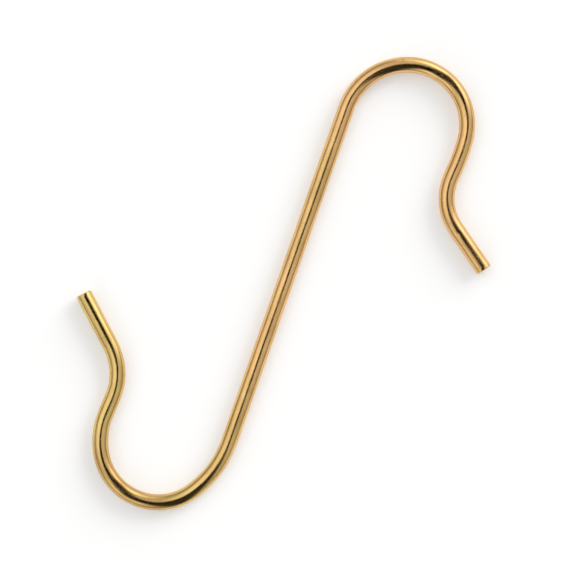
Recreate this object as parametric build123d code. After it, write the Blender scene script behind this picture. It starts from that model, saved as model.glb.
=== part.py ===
from build123d import *
import math
import os

# Double-ended hanging hook, bent from one length of round brass wire.
#
# Frame: the hook lies flat on the plane z = 0, with +Z up. Its shank runs
# along Y. The bend at the +Y end curls towards +X, and the bend at the -Y end
# curls towards -X, like an integral sign. The origin is at the middle of the
# bounding box in X and Y, on the resting plane. All sizes are in millimetres.

# ---------------------------------------------------------------- dimensions
WIRE_D = 1.40           # wire diameter
SHANK = 29.95           # straight shank between the two bends
TIP_ROUND = 0.16        # rounding of the rim of each cut end

# Each end, read outwards from the shank: the bend tightens from a lead-in
# arc to its crown and eases off again, so that its outer leg runs back beside
# the shank. After a short straight the neck turns the other way, and the
# straight tail flares out to a blunt cut end.
UPPER = dict(
    lead_r=5.48, lead_deg=73.5,      # lead-in arc off the shank
    crown_r=5.07, crown_deg=101.5,   # tightest part of the bend
    ease_r=13.85, ease_deg=9.7,      # easing arc into the outer leg
    leg=1.13,                        # straight outer leg
    neck_r=4.43, neck_deg=58.3,      # reverse bend of the neck
    tail=4.34,                       # straight flared tail
)
LOWER = dict(
    lead_r=8.86, lead_deg=34.9,
    crown_r=4.88, crown_deg=112.7,
    ease_r=6.14, ease_deg=36.2,
    leg=1.44,
    neck_r=5.10, neck_deg=50.8,
    tail=5.04,
)

R = WIRE_D / 2


# ------------------------------------------------------------------ the wire
def run_out(start, heading_deg, end):
    """Segments of one end of the wire, from the shank outwards.

    start is (x, y) and heading_deg is measured from +X, both in the plane of
    the wire's axis. Bends turn clockwise seen from above, and the neck turns
    back the other way.
    """
    x, y = start
    a = math.radians(heading_deg)
    rows = [
        ("arc", end["lead_r"], -end["lead_deg"]),
        ("arc", end["crown_r"], -end["crown_deg"]),
        ("arc", end["ease_r"], -end["ease_deg"]),
        ("line", end["leg"], 0),
        ("arc", end["neck_r"], end["neck_deg"]),
        ("line", end["tail"], 0),
    ]
    out = []
    for kind, size, turn in rows:
        if kind == "line":
            x2, y2, a2, c = x + size * math.cos(a), y + size * math.sin(a), a, None
        else:
            t = math.radians(turn)
            side = 1 if turn > 0 else -1
            c = (x - side * size * math.sin(a), y + side * size * math.cos(a))
            a2 = a + t
            x2 = c[0] + side * size * math.sin(a2)
            y2 = c[1] - side * size * math.cos(a2)
        out.append(dict(kind=kind, size=size, turn=turn, p=(x, y), a=a,
                        q=(x2, y2), a2=a2, c=c))
        x, y, a = x2, y2, a2
    return out


def section(p, a, z):
    """Round section of the wire at p, facing along the heading a."""
    plane = Plane(origin=(p[0], p[1], z), x_dir=(-math.sin(a), math.cos(a), 0),
                  z_dir=(math.cos(a), math.sin(a), 0))
    return plane * Circle(R)


def solid_of(seg, z):
    face = section(seg["p"], seg["a"], z)
    if seg["kind"] == "line":
        d = Vector(math.cos(seg["a"]), math.sin(seg["a"]), 0)
        return extrude(face, amount=seg["size"], dir=d)
    side = 1 if seg["turn"] > 0 else -1
    axis = Axis((seg["c"][0], seg["c"][1], z), (0, 0, side))
    return revolve(face, axis=axis, revolution_arc=abs(seg["turn"]))


upper = run_out((0, SHANK / 2), 90, UPPER)
lower = run_out((0, -SHANK / 2), -90, LOWER)
shank = dict(kind="line", size=SHANK, turn=0, p=(0, -SHANK / 2), a=math.pi / 2,
             q=(0, SHANK / 2), a2=math.pi / 2, c=None)
segments = [shank] + upper + lower

wire = None
for seg in segments:
    piece = solid_of(seg, R)
    wire = piece if wire is None else wire + piece
wire = wire.solids()[0] if len(wire.solids()) == 1 else wire

# The cut ends: a flat blunt face with its rim rounded off.
rims = []
for end in (upper, lower):
    tip = end[-1]["q"]
    flat = [f for f in wire.faces().filter_by(GeomType.PLANE)
            if (f.center() - Vector(tip[0], tip[1], R)).length < 0.05]
    rims += flat[0].edges()
wire = fillet(rims, TIP_ROUND)
wire = wire.solids()[0]

# Origin to the middle of the bounding box, on the resting plane.
box = wire.bounding_box()
DX, DY = -(box.min.X + box.max.X) / 2, -(box.min.Y + box.max.Y) / 2
hook = Pos(DX, DY, -box.min.Z) * wire
hook.label = "hook"

# ------------------------------------------------------------------- figures
length = sum(s["size"] * (math.radians(abs(s["turn"])) if s["kind"] == "arc" else 1)
             for s in segments)
print("wire length %.2f mm, volume %.2f mm3, section times length %.2f mm3"
      % (length, hook.volume, math.pi * R * R * length))
for name, end in (("upper", upper), ("lower", lower)):
    for i, s in enumerate(end):
        print(name, i, s["kind"],
              "p (%.3f %.3f)" % (s["p"][0] + DX, s["p"][1] + DY),
              "q (%.3f %.3f)" % (s["q"][0] + DX, s["q"][1] + DY),
              "heading %.2f -> %.2f" % (math.degrees(s["a"]), math.degrees(s["a2"])),
              "centre (%.3f %.3f)" % (s["c"][0] + DX, s["c"][1] + DY) if s["c"] else "")
print("shank axis x %.4f, y %.4f to %.4f" % (DX, -SHANK / 2 + DY, SHANK / 2 + DY))

os.makedirs("parts", exist_ok=True)
export_step(hook, "parts/hook.step")
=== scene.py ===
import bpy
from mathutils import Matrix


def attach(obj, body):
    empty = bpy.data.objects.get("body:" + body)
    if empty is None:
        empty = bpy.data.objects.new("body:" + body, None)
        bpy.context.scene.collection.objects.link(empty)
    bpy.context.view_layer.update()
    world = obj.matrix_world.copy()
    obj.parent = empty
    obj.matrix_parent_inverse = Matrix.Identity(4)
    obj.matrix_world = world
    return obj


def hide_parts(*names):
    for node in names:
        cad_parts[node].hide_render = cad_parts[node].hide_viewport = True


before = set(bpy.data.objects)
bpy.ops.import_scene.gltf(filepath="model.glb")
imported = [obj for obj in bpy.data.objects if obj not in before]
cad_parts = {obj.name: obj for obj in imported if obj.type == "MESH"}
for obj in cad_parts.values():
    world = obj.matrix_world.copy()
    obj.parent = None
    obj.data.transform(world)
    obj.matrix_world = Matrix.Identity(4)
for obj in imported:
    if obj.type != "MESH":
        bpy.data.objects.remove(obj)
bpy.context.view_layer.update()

import math

import bpy
import numpy as np

MM = 0.001

# =====================================================================
#  The wire's centreline: the same runs and arcs as the solid, in mm
# =====================================================================
WIRE_R = 0.70
SKIN_R = 0.698                   # the drawn skin, a hair under the nominal gauge
TIP_ROUND = 0.16
TIP_BACK = 0.022                 # the cut faces stand this far inside the nominal length
SHANK_MID = (0.1560, 0.8470)     # middle of the straight shank
SHANK = 29.95

# (length or radius, turn in degrees): a turn of None is a straight run.
# From the cut end of the +Y bend, round it, down the shank, and round the
# -Y bend to the other cut end. Turns are counter-clockwise from above.
UP = [(4.34, None), (4.43, -58.3), (1.13, None), (13.85, 9.7), (5.07, 101.5), (5.48, 73.5)]
DOWN = [(8.86, -34.9), (4.88, -112.7), (6.14, -36.2), (1.44, None), (5.10, 50.8), (5.04, None)]


def run_lengths(rows):
    out = []
    for size, turn in rows:
        if turn is None:
            out.append((size, 0.0))
        else:
            out.append((size * math.radians(abs(turn)), math.copysign(1.0 / size, turn)))
    return out


RUNS = run_lengths(UP) + [(SHANK, 0.0)] + run_lengths(DOWN)
LENGTH = sum(r[0] for r in RUNS)
MID_S = sum(r[0] for r in run_lengths(UP)) + SHANK / 2

# Curvature against length. Cold-bent wire has no sudden change of curvature,
# so the steps between runs are eased over about half a wire's diameter.
DS = 0.01
N = int(round(LENGTH / DS))
S = (np.arange(N) + 0.5) * (LENGTH / N)
kappa = np.zeros(N)
at = 0.0
for length, k in RUNS:
    kappa[(S >= at) & (S < at + length)] = k
    at += length
EASE = 0.28
half = int(4 * EASE / DS)
w = np.exp(-0.5 * (np.arange(-half, half + 1) * DS / EASE) ** 2)
kappa_soft = np.convolve(np.pad(kappa, half), w / w.sum(), mode="valid")

step = LENGTH / N
heading_edge = np.concatenate([[0.0], np.cumsum(kappa_soft * step)])
edge_s = np.arange(N + 1) * step
heading_edge += -math.pi / 2 - np.interp(MID_S, edge_s, heading_edge)
heading_mid = 0.5 * (heading_edge[1:] + heading_edge[:-1])
x_edge = np.concatenate([[0.0], np.cumsum(np.cos(heading_mid) * step)])
y_edge = np.concatenate([[0.0], np.cumsum(np.sin(heading_mid) * step)])
x_edge += SHANK_MID[0] - np.interp(MID_S, edge_s, x_edge)
y_edge += SHANK_MID[1] - np.interp(MID_S, edge_s, y_edge)


def line_at(s):
    """Centre (x, y), heading and curvature of the wire at length s, in mm."""
    return (np.interp(s, edge_s, x_edge), np.interp(s, edge_s, y_edge),
            np.interp(s, edge_s, heading_edge), np.interp(s, S, kappa_soft))


# =====================================================================
#  The wire's skin
# =====================================================================
SEG = 72                      # points round the wire
PITCH = 0.082                 # along it
ROUND_RINGS = 8               # over each rounded rim
FACE_RINGS = 26               # across each cut face
rng = np.random.default_rng(11)

theta = np.arange(SEG) * 2 * math.pi / SEG    # 0 is the in-plane normal, 90 deg is up


def skin_radius(s, k):
    """Radius round the wire at length s (an array of SEG values), never over SKIN_R.

    Bending thins the outer side a little and presses the inner side slightly
    flat where it was wrapped round the forming pin, and the wire's own gauge
    wanders by a few micrometres.
    """
    tight = np.clip(abs(k) / 0.205, 0, 1)
    side = np.cos(theta) * (1 if k >= 0 else -1)          # +1 on the inner side
    outer = np.clip(-side, 0, 1) ** 2
    inner = np.clip(side, 0, 1) ** 8
    r = np.full(SEG, SKIN_R)
    r -= tight * (0.011 * outer + 0.016 * inner)
    gauge = 0.0015 * (2 + math.sin(s * 0.83 + 0.4) + math.sin(s * 0.31 + 2.0))
    oval = 0.0018 * (1 + np.cos(2 * (theta - 0.07 * s - 0.6)))
    return r - gauge * 0.5 - oval * np.clip(np.cos(theta) ** 2, 0, 1)


# Small dents where the hooks have knocked against each other in the box.
DENTS = []
for _ in range(34):
    DENTS.append((rng.uniform(1.0, LENGTH - 1.0), rng.uniform(0, 2 * math.pi),
                  rng.uniform(0.10, 0.30), rng.uniform(0.10, 0.22), rng.uniform(0.003, 0.011)))


def dents(s):
    d = np.zeros(SEG)
    for ds_, dt, along, across, depth in DENTS:
        if abs(s - ds_) < 4 * along:
            arc = (theta - dt + math.pi) % (2 * math.pi) - math.pi
            d += depth * np.exp(-0.5 * ((s - ds_) / along) ** 2) * np.exp(-0.5 * (arc * WIRE_R / across) ** 2)
    return d


points, coords, cut_mask, torn_mask, strain = [], [], [], [], []


def add_ring(s_line, s_mark, radii, cut=0.0, torn=0.0, push=None):
    """One ring of SEG points. s_line places the section; push slides each point along the wire."""
    x, y, a, k = (float(v) for v in line_at(s_line))
    ex, ey = math.cos(a), math.sin(a)
    nx, ny = -math.sin(a), math.cos(a)
    c, s_ = np.cos(theta), np.sin(theta)
    push = np.zeros(SEG) if push is None else push
    px = x + radii * c * nx + push * ex
    py = y + radii * c * ny + push * ey
    pz = WIRE_R + radii * s_
    points.append(np.stack([px, py, pz], 1))
    coords.append(np.stack([np.full(SEG, s_mark) + push, radii * c, radii * s_], 1))
    cut_mask.append(np.full(SEG, cut))
    torn_mask.append(np.zeros(SEG) + torn)
    strain.append(-k * radii * c)


# ------------------------------------------------ cut ends
def shear_face(r_frac, blade, seed):
    """The cut face at a fraction of its radius: how far it is sunk, in mm, and how torn it is.

    The side where the blade went in is sheared smooth, with fine ridges that
    run the way it moved. The far side tore, lies a little lower and is grainy.
    """
    g = np.random.default_rng(seed)
    u = r_frac * np.cos(theta - blade)           # across the cut, -1 where the blade went in
    v = r_frac * np.sin(theta - blade)
    edge = 0.05 + 0.10 * np.sin(2.3 * v + 0.7) + 0.05 * np.sin(6.1 * v + 2.0) + 0.02 * np.sin(17.0 * v)
    torn = np.clip((u - edge + 0.16) / 0.32, 0, 1)
    torn = torn * torn * (3 - 2 * torn)
    ridges = np.zeros(SEG)
    for _ in range(9):
        f, p, q = g.uniform(9, 26), g.uniform(0, 6.28), g.uniform(-0.3, 0.3)
        ridges += np.sin(f * (v + q * u) + p) / 9
    lumps = np.zeros(SEG)
    for _ in range(46):
        cu, cv, w_ = g.uniform(-0.1, 0.98), g.uniform(-0.95, 0.95), g.uniform(0.045, 0.13)
        lumps += g.uniform(-0.9, 1.0) * np.exp(-((u - cu) ** 2 + (v - cv) ** 2) / (2 * w_ * w_))
    lean = 0.010 * (u + 1)                       # the break leans away from the blade
    sink = lean + 0.014 * torn + 0.0035 * (ridges + 1) * (1 - torn) + 0.010 * torn * (1 + np.clip(lumps, -1, 1.4))
    return sink, torn


def end_rings(which, blade, seed):
    """Rings of one cut end, from the cylinder outwards. which is 0 at the start, 1 at the finish."""
    rings = []
    s_end = TIP_BACK if which == 0 else LENGTH - TIP_BACK
    sign = -1.0 if which == 0 else 1.0
    k = float(line_at(s_end)[3])
    base = skin_radius(s_end, k)
    # The rim rolls over more on the side where the blade went in, and is nearly
    # sharp where the metal tore.
    side = np.cos(theta - blade)
    roll = TIP_ROUND * (0.95 + 0.60 * np.clip(-side, 0, 1) ** 2 - 0.30 * np.clip(side, 0, 1))
    rim_sink, rim_torn = shear_face(1.0, blade, seed)
    for i in range(ROUND_RINGS + 1):
        f = math.pi / 2 * i / ROUND_RINGS
        back = rim_sink + (roll - rim_sink) * (1 - math.sin(f))
        radii = base - roll * (1 - math.cos(f))
        rings.append(dict(radii=radii, push=-sign * back, cut=(i / ROUND_RINGS) ** 2, torn=rim_torn * (i / ROUND_RINGS) ** 2))
    rim = base - roll
    for j in range(1, FACE_RINGS + 1):
        fr = max(1 - j / FACE_RINGS, 0.010)
        d, torn = shear_face(fr, blade, seed)
        rings.append(dict(radii=rim * fr, push=-sign * d, cut=1.0, torn=torn))
    return s_end, rings


BODY_IN = 0.36                # body rings stop this far from each end
s_body = np.linspace(BODY_IN, LENGTH - BODY_IN, int(round((LENGTH - 2 * BODY_IN) / PITCH)) + 1)

s0, rings0 = end_rings(0, blade=1.25, seed=5)
for r in reversed(rings0):
    add_ring(s0, s0, r["radii"], push=r["push"], cut=r["cut"], torn=r["torn"])
n_cap0 = len(rings0)
for s in s_body:
    k = float(line_at(s)[3])
    add_ring(s, s, skin_radius(s, k) - dents(s))
s1, rings1 = end_rings(1, blade=1.9, seed=8)
for r in rings1:
    add_ring(s1, s1, r["radii"], push=r["push"], cut=r["cut"], torn=r["torn"])

verts = np.concatenate(points) * MM
wire_co = np.concatenate(coords)
cut_v = np.concatenate(cut_mask)
torn_v = np.concatenate(torn_mask)
strain_v = np.concatenate(strain)
n_rings = len(points)

# the two centre points that close the faces
first = verts[:SEG].mean(0)
last = verts[-SEG:].mean(0)
verts = np.vstack([verts, first, last])
wire_co = np.vstack([wire_co, wire_co[:SEG].mean(0), wire_co[-SEG:].mean(0)])
cut_v = np.append(cut_v, [1.0, 1.0])
torn_v = np.append(torn_v, [torn_mask[0].mean(), torn_mask[-1].mean()])
strain_v = np.append(strain_v, [0.0, 0.0])
i_first, i_last = len(verts) - 2, len(verts) - 1

faces, uvs = [], []

# One flat map of the skin, in mm: the tube cut into five strips laid one above
# another, and the two cut faces beside them.
ROWS, SIDE = 5, 23.2
girth = 2 * math.pi * WIRE_R
along = np.zeros(n_rings)                   # length along the skin, over the rims too
for i in range(1, n_rings):
    along[i] = along[i - 1] + np.linalg.norm((points[i] - points[i - 1]), axis=1).mean()
FLAT = ROUND_RINGS                           # the rims belong to the strips
tube_lo, tube_hi = FACE_RINGS, n_rings - 1 - FACE_RINGS
tube_len = along[tube_hi] - along[tube_lo]
row_len = tube_len / ROWS


def cap_uv(ring, j, cap):
    """Place on the flat map of a point of a cut face, seen from outside. cap is 0 or 1."""
    p = coords[ring][j % SEG]
    return (cap_uv_at[cap][0] + (p[1] if cap else -p[1]) / SIDE, cap_uv_at[cap][1] + p[2] / SIDE)


cap_uv_at = [((row_len + 1.0 + 1.6) / SIDE, 2.0 / SIDE), ((row_len + 1.0 + 1.6) / SIDE, 5.0 / SIDE)]
for i in range(n_rings - 1):
    a0, a1 = i * SEG, (i + 1) * SEG
    in_tube = tube_lo <= i < tube_hi
    if in_tube:
        mid = 0.5 * (along[i] + along[i + 1]) - along[tube_lo]
        row = min(ROWS - 1, int(mid / row_len))
        u0 = (along[i] - along[tube_lo] - row * row_len + 0.4) / SIDE
        u1 = (along[i + 1] - along[tube_lo] - row * row_len + 0.4) / SIDE
        v_base = 0.15 + row * (girth + 0.2)
    for j in range(SEG):
        j2 = (j + 1) % SEG
        faces.append((a0 + j, a0 + j2, a1 + j2, a1 + j))
        if in_tube:
            v0, v1 = (v_base + girth * (SEG - j) / SEG) / SIDE, (v_base + girth * (SEG - j - 1) / SEG) / SIDE
            uvs += [(u0, v0), (u0, v1), (u1, v1), (u1, v0)]
        else:
            cap = 0 if i < tube_lo else 1
            uvs += [cap_uv(i, j, cap), cap_uv(i, j + 1, cap), cap_uv(i + 1, j + 1, cap), cap_uv(i + 1, j, cap)]
for j in range(SEG):
    j2 = (j + 1) % SEG
    faces.append((i_first, j2, j))
    uvs += [cap_uv_at[0], cap_uv(0, j + 1, 0), cap_uv(0, j, 0)]
    b = (n_rings - 1) * SEG
    faces.append((i_last, b + j, b + j2))
    uvs += [cap_uv_at[1], cap_uv(n_rings - 1, j, 1), cap_uv(n_rings - 1, j + 1, 1)]

mesh = bpy.data.meshes.new("hook_wire")
mesh.from_pydata(verts.tolist(), [], faces)
mesh.update()
flat_uv = mesh.uv_layers.new(name="OFBake")
flat_uv.data.foreach_set("uv", np.array(uvs, np.float32).ravel())
for name, kind, data in (("wire", "FLOAT_VECTOR", wire_co), ("cut", "FLOAT", cut_v), ("torn", "FLOAT", torn_v), ("strain", "FLOAT", strain_v)):
    attribute = mesh.attributes.new(name, kind, "POINT")
    attribute.data.foreach_set("vector" if kind == "FLOAT_VECTOR" else "value", np.asarray(data, np.float32).ravel())
mesh.polygons.foreach_set("use_smooth", np.ones(len(mesh.polygons), bool))
mesh.update()

hook = bpy.data.objects.new("hook_wire", mesh)
bpy.context.scene.collection.objects.link(hook)

# =====================================================================
#  Brass
# =====================================================================
def node(nt, kind, at=(0, 0), **settings):
    n = nt.nodes.new(kind)
    n.location = at
    for key, value in settings.items():
        setattr(n, key, value)
    return n


def brass_material():
    m = bpy.data.materials.new("brass_wire")
    m.use_nodes = True
    nt = m.node_tree
    nt.nodes.clear()
    link = nt.links.new
    out = node(nt, "ShaderNodeOutputMaterial", (1500, 0))
    bsdf = node(nt, "ShaderNodeBsdfPrincipled", (1200, 0))
    link(bsdf.outputs["BSDF"], out.inputs["Surface"])
    bsdf.inputs["Metallic"].default_value = 1.0
    bsdf.inputs["Specular Tint"].default_value = (1.0, 0.955, 0.86, 1.0)

    wire = node(nt, "ShaderNodeAttribute", (-1500, 0), attribute_name="wire")      # mm along, across, up
    cut = node(nt, "ShaderNodeAttribute", (-1500, -600), attribute_name="cut")
    bend = node(nt, "ShaderNodeAttribute", (-1500, -900), attribute_name="strain")
    rough_cut = node(nt, "ShaderNodeAttribute", (-1500, -750), attribute_name="torn")

    def stretched(sx, sy, at, offset=(0, 0, 0)):
        mp = node(nt, "ShaderNodeMapping", at)
        mp.inputs["Scale"].default_value = (sx, sy, sy)
        mp.inputs["Location"].default_value = offset
        link(wire.outputs["Vector"], mp.inputs["Vector"])
        return mp.outputs["Vector"]

    def noise(vector, scale, detail, rough, at, distortion=0.0):
        n = node(nt, "ShaderNodeTexNoise", at)
        n.inputs["Scale"].default_value = scale
        n.inputs["Detail"].default_value = detail
        n.inputs["Roughness"].default_value = rough
        n.inputs["Distortion"].default_value = distortion
        link(vector, n.inputs["Vector"])
        return n.outputs["Fac"]

    def ramp(value, lo, hi, at, to_lo=0.0, to_hi=1.0, smooth=True):
        r = node(nt, "ShaderNodeMapRange", at)
        r.interpolation_type = "SMOOTHSTEP" if smooth else "LINEAR"
        r.clamp = True if hasattr(r, "clamp") else True
        r.inputs["From Min"].default_value = lo
        r.inputs["From Max"].default_value = hi
        r.inputs["To Min"].default_value = to_lo
        r.inputs["To Max"].default_value = to_hi
        link(value, r.inputs["Value"])
        return r.outputs["Result"]

    def math_(op, a, b, at):
        n = node(nt, "ShaderNodeMath", at, operation=op)
        for socket, value in zip(n.inputs, (a, b)):
            if isinstance(value, (int, float)):
                socket.default_value = value
            else:
                link(value, socket)
        return n.outputs["Value"]

    def mix(fac, a, b, at):
        n = node(nt, "ShaderNodeMix", at, data_type="RGBA")
        for socket, value in ((n.inputs["Factor"], fac), (n.inputs["A"], a), (n.inputs["B"], b)):
            if isinstance(value, (tuple, float, int)):
                socket.default_value = value
            else:
                link(value, socket)
        return n.outputs["Result"]

    # drawing-die lines along the wire, broad and fine
    lines_fine = noise(stretched(0.10, 1.0, (-1250, 300)), 26.0, 3.0, 0.6, (-1000, 300))
    lines_broad = noise(stretched(0.05, 1.0, (-1250, 100), (3.0, 0.4, 0.9)), 5.5, 3.0, 0.55, (-1000, 100))
    # slow drifts of hue along the wire, as its skin of tarnish thins and thickens
    drift = noise(stretched(0.16, 0.5, (-1250, 700), (11.0, 3.0, 6.0)), 1.0, 3.0, 0.55, (-1000, 700))
    # blotches of thin tarnish, a little longer than they are wide
    blotch = noise(stretched(0.35, 1.0, (-1250, -100), (7.0, 2.0, 5.0)), 1.15, 4.0, 0.62, (-1000, -100), 0.4)
    speck = noise(stretched(0.6, 1.0, (-1250, -300), (1.0, 8.0, 3.0)), 9.0, 3.0, 0.7, (-1000, -300))
    # handling scuffs that run slantwise
    scuff_map = node(nt, "ShaderNodeMapping", (-1250, -500))
    scuff_map.inputs["Rotation"].default_value = (0.0, 0.35, 0.9)
    scuff_map.inputs["Scale"].default_value = (0.7, 14.0, 3.0)
    link(wire.outputs["Vector"], scuff_map.inputs["Vector"])
    scuff_n = noise(scuff_map.outputs["Vector"], 2.2, 2.0, 0.5, (-1000, -500))
    scuff = ramp(scuff_n, 0.66, 0.74, (-800, -500))
    # grain roughened where a bend has stretched the outer side
    stretch = ramp(bend.outputs["Fac"], 0.03, 0.15, (-1250, -900))
    peel = noise(stretched(1.0, 1.0, (-1250, -1100), (2.0, 5.0, 1.0)), 17.0, 3.0, 0.55, (-1000, -1100))

    # colour: bright brass, browner where it is tarnished, darker with painted shade round the -Y bend and lighter
    # with painted light on the +Y neck and the -Y tail end, a touch redder in the die lines
    rosy = (0.845, 0.505, 0.222, 1.0)
    olive = (0.750, 0.558, 0.190, 1.0)
    dull = (0.592, 0.375, 0.135, 1.0)
    warm = (0.676, 0.415, 0.150, 1.0)
    along = node(nt, "ShaderNodeSeparateXYZ", (-1250, 900))
    link(wire.outputs["Vector"], along.inputs["Vector"])
    # rosier from the +Y end to the middle of the shank, and yellower from there on
    half_tone = ramp(along.outputs["X"], 50.0, 66.0, (-1000, 550), 0.78, 0.18)
    hue = math_("ADD", half_tone, math_("MULTIPLY", math_("SUBTRACT", drift, 0.5, (-900, 800)), 1.3, (-800, 800)), (-700, 700))
    hue = ramp(hue, 0.0, 1.0, (-650, 700), smooth=False)
    c0 = mix(hue, olive, rosy, (-600, 400))
    blotched = ramp(blotch, 0.42, 0.70, (-700, -100), 0.0, 0.60)
    # Painted light: the tarnish is mostly taken off, so the colour is lighter, on the neck of the +Y bend and on the
    # last of the -Y tail.
    # Painted shade: round the -Y bend the colour is darkened with a darker, glossier tint.
    painted_shade_at_bend = math_("MULTIPLY", ramp(along.outputs["X"], 63.0, 67.5, (-1000, 900)), ramp(along.outputs["X"], 71.5, 76.5, (-1000, 1050), 1.0, 0.0), (-800, 950))
    painted_light_at_ends = math_("MULTIPLY", ramp(along.outputs["X"], 4.5, 8.0, (-1000, 1200)), ramp(along.outputs["X"], 12.5, 16.5, (-1000, 1350), 1.0, 0.0), (-800, 1250))
    painted_light_at_ends = math_("ADD", painted_light_at_ends, ramp(along.outputs["X"], 83.0, 86.0, (-1000, 1500)), (-650, 1300))
    tarnish_left_under_painted_light = math_("SUBTRACT", 1.0, math_("MULTIPLY", painted_light_at_ends, 0.85, (-500, 1300)), (-350, 1300))
    # the tarnish film, thinned where light is painted on the +Y neck and the -Y tail end
    tarnish_film_thinned_by_painted_light = math_("MULTIPLY", blotched, tarnish_left_under_painted_light, (-500, 0))
    # the tarnish film plus painted shade round the -Y bend
    tarnish_and_painted_shade = math_("ADD", tarnish_film_thinned_by_painted_light, math_("MULTIPLY", painted_shade_at_bend, 0.75, (-500, 950)), (-450, 0))
    c1 = mix(tarnish_and_painted_shade, c0, dull, (-450, 200))
    line_tone = ramp(lines_broad, 0.42, 0.66, (-700, 100), 0.0, 0.50)
    c2 = mix(line_tone, c1, warm, (-200, 200))
    fleck = ramp(speck, 0.62, 0.70, (-700, -300), 0.0, 0.65)
    c3 = mix(fleck, c2, (0.36, 0.22, 0.09, 1.0), (50, 200))
    # the cut ends: bare metal where the blade sheared it, dull and grainy where it tore
    grain = noise(stretched(9.0, 9.0, (-1250, -700)), 2.6, 2.0, 0.6, (-1000, -700))
    face_tone = mix(rough_cut.outputs["Fac"], (0.66, 0.455, 0.220, 1.0), (0.40, 0.270, 0.135, 1.0), (50, -100))
    c4 = mix(math_("MULTIPLY", cut.outputs["Fac"], 0.80, (-450, -600)), c3, face_tone, (300, 200))
    link(c4, bsdf.inputs["Base Color"])

    # gloss
    r1 = ramp(lines_fine, 0.3, 0.7, (-450, 0), 0.090, 0.160)
    r2 = math_("ADD", r1, math_("MULTIPLY", tarnish_film_thinned_by_painted_light, 0.13, (-450, -150)), (-200, 0))
    r3 = math_("ADD", r2, math_("MULTIPLY", scuff, 0.10, (-450, -300)), (0, 0))
    r4 = math_("ADD", r3, math_("MULTIPLY", stretch, 0.03, (-450, -400)), (150, 0))
    r5 = math_("ADD", r4, math_("MULTIPLY", cut.outputs["Fac"], 0.10, (-200, -600)), (300, 0))
    r6 = math_("ADD", r5, math_("MULTIPLY", rough_cut.outputs["Fac"], 0.16, (-200, -700)), (450, 0))
    link(r6, bsdf.inputs["Roughness"])

    # relief, in mm
    h1 = math_("MULTIPLY", lines_fine, 0.0022, (-200, -800))
    h2 = math_("MULTIPLY", lines_broad, 0.0075, (-200, -950))
    h3 = math_("MULTIPLY", scuff, -0.0016, (-200, -1100))
    h4 = math_("MULTIPLY", math_("MULTIPLY", peel, stretch, (-450, -1100)), 0.0030, (-200, -1250))
    h5 = math_("MULTIPLY", fleck, -0.0016, (-200, -1400))
    h6 = math_("MULTIPLY", math_("MULTIPLY", grain, rough_cut.outputs["Fac"], (-450, -1550)), 0.0060, (-200, -1550))
    h = math_("ADD", math_("ADD", math_("ADD", math_("ADD", h1, h2, (0, -850)), h3, (150, -900)), h4, (300, -950)), h5, (450, -1000))
    h = math_("ADD", h, h6, (600, -1000))
    bump = node(nt, "ShaderNodeBump", (900, -600))
    bump.inputs["Strength"].default_value = 1.0
    bump.inputs["Distance"].default_value = MM
    link(h, bump.inputs["Height"])
    link(bump.outputs["Normal"], bsdf.inputs["Normal"])
    return m


hook.data.materials.append(brass_material())
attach(hook, "root")
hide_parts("hook")

# =====================================================================
#  Floor, light and camera
# =====================================================================
bpy.ops.mesh.primitive_plane_add(size=12.0, location=(0, 0, 0))
floor = bpy.context.object
floor.name = "floor"
fm = bpy.data.materials.new("floor_white")
fm.use_nodes = True
fb = fm.node_tree.nodes["Principled BSDF"]
fb.inputs["Base Color"].default_value = (0.86, 0.86, 0.86, 1)
fb.inputs["Roughness"].default_value = 0.9
fb.inputs["Specular IOR Level"].default_value = 0.0
fb.inputs["Emission Color"].default_value = (1, 1, 1, 1)
fb.inputs["Emission Strength"].default_value = 0.296
floor.data.materials.append(fm)

# A soft tent of light, mirrored in the brass: even overhead and dimmer towards its
# foot, with a wide window low on the +Y side, weaker ones towards -X and behind,
# a long dark slot overhead, and a dark flap hanging from it on the -Y side.
world = bpy.data.worlds.new("tent")
bpy.context.scene.world = world
world.use_nodes = True
wt = world.node_tree
wt.nodes.clear()
wl = wt.links.new
w_out = wt.nodes.new("ShaderNodeOutputWorld")
w_bg = wt.nodes.new("ShaderNodeBackground")
wl(w_bg.outputs[0], w_out.inputs["Surface"])
direction = wt.nodes.new("ShaderNodeTexCoord")


def toward(azimuth_deg, tilt_deg):
    """Unit direction at an azimuth from +X and a tilt from straight up."""
    a, t = math.radians(azimuth_deg), math.radians(tilt_deg)
    return (math.cos(a) * math.sin(t), math.sin(a) * math.sin(t), math.cos(t))


def lobe(axis, lo_deg, hi_deg, to_lo, to_hi):
    """A smooth step on the angle from axis: to_hi within hi_deg of it, to_lo past lo_deg."""
    d = wt.nodes.new("ShaderNodeVectorMath")
    d.operation = "DOT_PRODUCT"
    n = np.array(axis, float)
    n /= np.linalg.norm(n)
    d.inputs[1].default_value = tuple(n)
    wl(direction.outputs["Generated"], d.inputs[0])
    r = wt.nodes.new("ShaderNodeMapRange")
    r.interpolation_type = "SMOOTHSTEP"
    r.inputs["From Min"].default_value = math.cos(math.radians(lo_deg))
    r.inputs["From Max"].default_value = math.cos(math.radians(hi_deg))
    r.inputs["To Min"].default_value = to_lo
    r.inputs["To Max"].default_value = to_hi
    wl(d.outputs["Value"], r.inputs["Value"])
    return r.outputs["Result"]


def w_math(op, a, b):
    n = wt.nodes.new("ShaderNodeMath")
    n.operation = op
    for socket, value in zip(n.inputs, (a, b)):
        if isinstance(value, (int, float)):
            socket.default_value = value
        else:
            wl(value, socket)
    return n.outputs["Value"]


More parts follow.
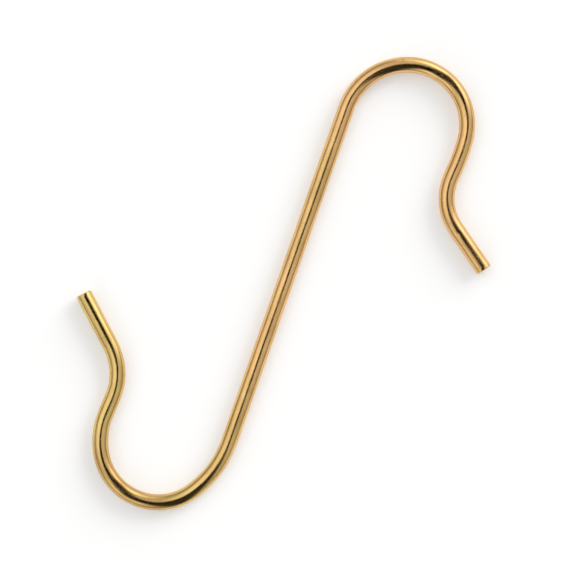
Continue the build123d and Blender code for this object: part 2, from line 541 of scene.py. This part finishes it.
def dark_gap(long_azimuth_deg, centre_xy, half_long, half_wide, floor_level, near=0.55, far=1.45):
    """An oval of the sky, seen from above, that is dark: floor_level inside, 1 well outside."""
    a = math.radians(long_azimuth_deg)
    total = None
    for axis, half in (((math.cos(a), math.sin(a), 0.0), half_long), ((-math.sin(a), math.cos(a), 0.0), half_wide)):
        d = wt.nodes.new("ShaderNodeVectorMath")
        d.operation = "DOT_PRODUCT"
        d.inputs[1].default_value = axis
        wl(direction.outputs["Generated"], d.inputs[0])
        at = centre_xy[0] * axis[0] + centre_xy[1] * axis[1]
        t = w_math("MULTIPLY", w_math("SUBTRACT", d.outputs["Value"], at), 1.0 / half)
        t = w_math("MULTIPLY", t, t)
        total = t if total is None else w_math("ADD", total, t)
    r = wt.nodes.new("ShaderNodeMapRange")
    r.interpolation_type = "SMOOTHSTEP"
    r.inputs["From Min"].default_value = near
    r.inputs["From Max"].default_value = far
    r.inputs["To Min"].default_value = floor_level
    r.inputs["To Max"].default_value = 1.0
    wl(total, r.inputs["Value"])
    return r.outputs["Result"]


ROLL = math.radians(19.3)                    # the hook lies turned this far in the picture


def in_hook_frame(x, y):
    """A direction read off the picture, x right and y up, in the hook's own frame."""
    return (x * math.cos(ROLL) - y * math.sin(ROLL), x * math.sin(ROLL) + y * math.cos(ROLL))


room = lobe((0, 0, 1), 90, 0, 0.44, 0.80)                      # dimmer towards the horizon
window = lobe(toward(80, 84), 46, 20, 0.0, 0.80)
left = lobe(toward(178, 36), 36, 10, 0.0, 0.40)
strip = dark_gap(52 + 19.3, in_hook_frame(0.10, 0.02), 0.84, 0.165, 0.0, 0.30, 1.60)
corner = dark_gap(20 + 19.3, in_hook_frame(0.17, -0.55), 0.34, 0.44, 0.05)
glow = lobe(toward(62, 66), 36, 8, 0.0, 0.90)                  # the key light, as the metal sees it
skirt = lobe((0, 0, 1), 87.5, 80, 0.42, 1.0)                   # a dark skirt round the foot of the tent
back = lobe(toward(236 + 19.3, 60), 28, 6, 0.0, 0.60)
level = w_math("ADD", w_math("ADD", w_math("ADD", room, window), w_math("ADD", left, glow)), back)
level = w_math("MULTIPLY", w_math("MULTIPLY", level, strip), w_math("MULTIPLY", corner, skirt))
path = wt.nodes.new("ShaderNodeLightPath")
plain = wt.nodes.new("ShaderNodeMix")
plain.data_type = "FLOAT"
wl(path.outputs["Is Camera Ray"], plain.inputs["Factor"])
wl(level, plain.inputs["A"])
plain.inputs["B"].default_value = 1.0
w_bg.inputs["Color"].default_value = (1.0, 1.0, 1.0, 1)
wl(plain.outputs["Result"], w_bg.inputs["Strength"])

key_dir = toward(62, 64)
sun = bpy.data.lights.new("key", "SUN")
sun.energy = 1.00
sun.angle = math.radians(32)
sun.color = (1.0, 0.985, 0.955)
sun_ob = bpy.data.objects.new("key", sun)
bpy.context.scene.collection.objects.link(sun_ob)
from mathutils import Vector

sun_ob.rotation_mode = "QUATERNION"
sun_ob.rotation_quaternion = Vector(key_dir).to_track_quat("Z", "Y")
sun_ob.location = Vector(key_dir) * 0.5
sun_ob.visible_glossy = False                # the tent's glow stands in for it there

# The camera looks straight down, turned so that the shank leans 19.3 degrees
# to the right of upright, as it lies in the picture.
u_ax = np.array([math.cos(ROLL), math.sin(ROLL)])
v_ax = np.array([-math.sin(ROLL), math.cos(ROLL)])
pu, pv = verts[:, :2] @ u_ax, verts[:, :2] @ v_ax
mid_u, mid_v = (pu.min() + pu.max()) / 2, (pv.min() + pv.max()) / 2
centre = u_ax * mid_u + v_ax * mid_v
span = max(np.ptp(pu), np.ptp(pv))
cam_data = bpy.data.cameras.new("camera")
cam_data.lens = 180.0
cam_data.sensor_width = 36.0
FILL = 0.80
distance = span / FILL / (36.0 / 180.0) + 0.0007
cam_data.clip_start, cam_data.clip_end = 0.005, 20.0
cam = bpy.data.objects.new("camera", cam_data)
cam.location = (centre[0], centre[1], distance)
cam.rotation_euler = (0, 0, ROLL)
bpy.context.scene.collection.objects.link(cam)
bpy.context.scene.camera = cam

bpy.context.scene.view_settings.view_transform = "Standard"
bpy.context.scene.view_settings.look = "None"
